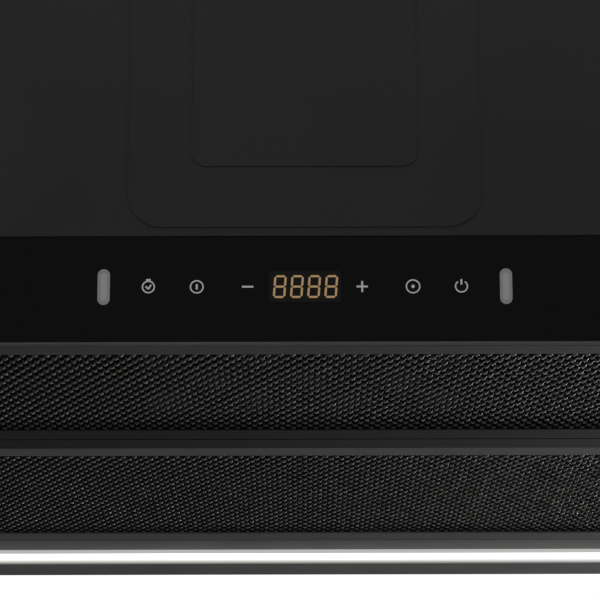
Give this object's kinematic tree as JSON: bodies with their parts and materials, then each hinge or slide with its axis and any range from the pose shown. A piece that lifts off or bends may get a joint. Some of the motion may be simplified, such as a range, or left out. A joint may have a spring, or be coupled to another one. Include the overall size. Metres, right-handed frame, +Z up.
{
  "type": "wall-hung kitchen range hood",
  "caption": "Black wall-hung kitchen range hood with a glass touch strip, two mesh grease filters, a light bar, a centrifugal blower and a round outlet collar with backdraft flaps.",
  "frame": {"origin": "centre of the four wall bolts, on the wall plane at the hood's back", "axes": "+X to the right across the width seen from the front, +Y into the wall, +Z up"},
  "size_m": [0.9, 0.53, 0.328],
  "materials": {
    "matte_black_paint": "matte fine-textured powder coat",
    "underside_paint": "satin black paint",
    "control_glass": "glossy black back-printed glass",
    "trim": "black anodised, brushed",
    "filter_frame": "satin black paint",
    "filter_mesh": "satin black paint on perforated steel",
    "zinc_steel": "zinc-plated sheet",
    "screw_steel": "bright zinc",
    "spring_steel": "drawn wire",
    "black_plastic": "fine moulded grain",
    "grey_plastic": "fine moulded grain",
    "white_plastic": "moulded",
    "sensor_lens": "smoked lens",
    "circuit_board": "solder mask",
    "display": "segment display",
    "light_channel": "satin",
    "light_diffuser": "frosted",
    "motor_case": "die cast",
    "impeller": "galvanised"
  },
  "bodies": {
    "housing": {"back_panel": "matte_black_paint", "wall_plates": "zinc_steel", "top_panel": "matte_black_paint", "side_panel_left": "matte_black_paint", "side_panel_right": "matte_black_paint", "front_panel": "matte_black_paint", "glass_rail": "zinc_steel", "control_glass": "control_glass", "trim_lip": "trim", "intake_frame": "underside_paint", "sensor_windows": "sensor_lens", "control_carrier": "black_plastic", "control_board": "circuit_board", "touch_springs": "spring_steel", "display_module": "display", "sensor_boards": "circuit_board", "light_channel": "light_channel", "light_board": "circuit_board", "light_diffuser": "light_diffuser", "light_driver": "white_plastic", "filter_pivots": "zinc_steel", "scroll_left": "zinc_steel", "scroll_right": "zinc_steel", "inlet_rings": "zinc_steel", "blower_flange": "zinc_steel", "motor": "motor_case", "motor_bracket": "zinc_steel", "run_capacitor": "white_plastic", "capacitor_clip": "zinc_steel", "electronics_box": "grey_plastic", "electronics_lid": "grey_plastic", "power_board": "circuit_board", "terminal_block": "white_plastic", "cable_gland": "black_plastic", "outlet_collar": "black_plastic", "flap_pin": "spring_steel", "panel_screws": "screw_steel", "blower_screws": "screw_steel"},
    "rotor": {"impeller": "impeller", "impeller_hub": "motor_case", "motor_shaft": "spring_steel", "shaft_nut": "screw_steel"},
    "left_flap": {"flap_left": "grey_plastic"},
    "right_flap": {"flap_right": "grey_plastic"},
    "front_filter": {"front_filter_frame": "filter_frame", "front_filter_outer_mesh": "filter_mesh", "front_filter_inner_mesh": "filter_mesh", "front_filter_pins": "spring_steel", "front_latch_cases": "black_plastic", "front_latch_springs": "spring_steel"},
    "front_left_latch": {"front_latch_left": "black_plastic"},
    "front_right_latch": {"front_latch_right": "black_plastic"},
    "rear_filter": {"rear_filter_frame": "filter_frame", "rear_filter_outer_mesh": "filter_mesh", "rear_filter_inner_mesh": "filter_mesh", "rear_filter_pins": "spring_steel", "rear_latch_cases": "black_plastic", "rear_latch_springs": "spring_steel"},
    "rear_left_latch": {"rear_latch_left": "black_plastic"},
    "rear_right_latch": {"rear_latch_right": "black_plastic"}
  },
  "joints": [
    {"name": "impeller_spin", "type": "hinge", "parent": "housing", "child": "rotor", "pos_m": [0, -0.232, -0.022], "axis": [1, 0, 0], "continuous": true},
    {"name": "flap_left_swing", "type": "hinge", "parent": "housing", "child": "left_flap", "pos_m": [0, -0.165, 0.143], "axis": [0, 1, 0], "range_deg": [0, 75]},
    {"name": "flap_right_swing", "type": "hinge", "parent": "housing", "child": "right_flap", "pos_m": [0, -0.165, 0.143], "axis": [0, -1, 0], "range_deg": [0, 75]},
    {"name": "front_filter_tilt", "type": "hinge", "parent": "housing", "child": "front_filter", "pos_m": [0, -0.361, -0.146], "axis": [1, 0, 0], "range_deg": [0, 80]},
    {"name": "rear_filter_tilt", "type": "hinge", "parent": "housing", "child": "rear_filter", "pos_m": [0, -0.113, -0.146], "axis": [1, 0, 0], "range_deg": [0, 80]},
    {"name": "front_latch_left_slide", "type": "slide", "parent": "front_filter", "child": "front_left_latch", "axis": [0, 1, 0], "range_m": [0, 0.006], "stiffness_N_per_m": 400, "springref_m": -0.003, "deforming": ["front_latch_springs"]},
    {"name": "front_latch_right_slide", "type": "slide", "parent": "front_filter", "child": "front_right_latch", "axis": [0, 1, 0], "range_m": [0, 0.006], "stiffness_N_per_m": 400, "springref_m": -0.003},
    {"name": "rear_latch_left_slide", "type": "slide", "parent": "rear_filter", "child": "rear_left_latch", "axis": [0, 1, 0], "range_m": [0, 0.006], "stiffness_N_per_m": 400, "springref_m": -0.003, "deforming": ["rear_latch_springs"]},
    {"name": "rear_latch_right_slide", "type": "slide", "parent": "rear_filter", "child": "rear_right_latch", "axis": [0, 1, 0], "range_m": [0, 0.006], "stiffness_N_per_m": 400, "springref_m": -0.003}
  ]
}
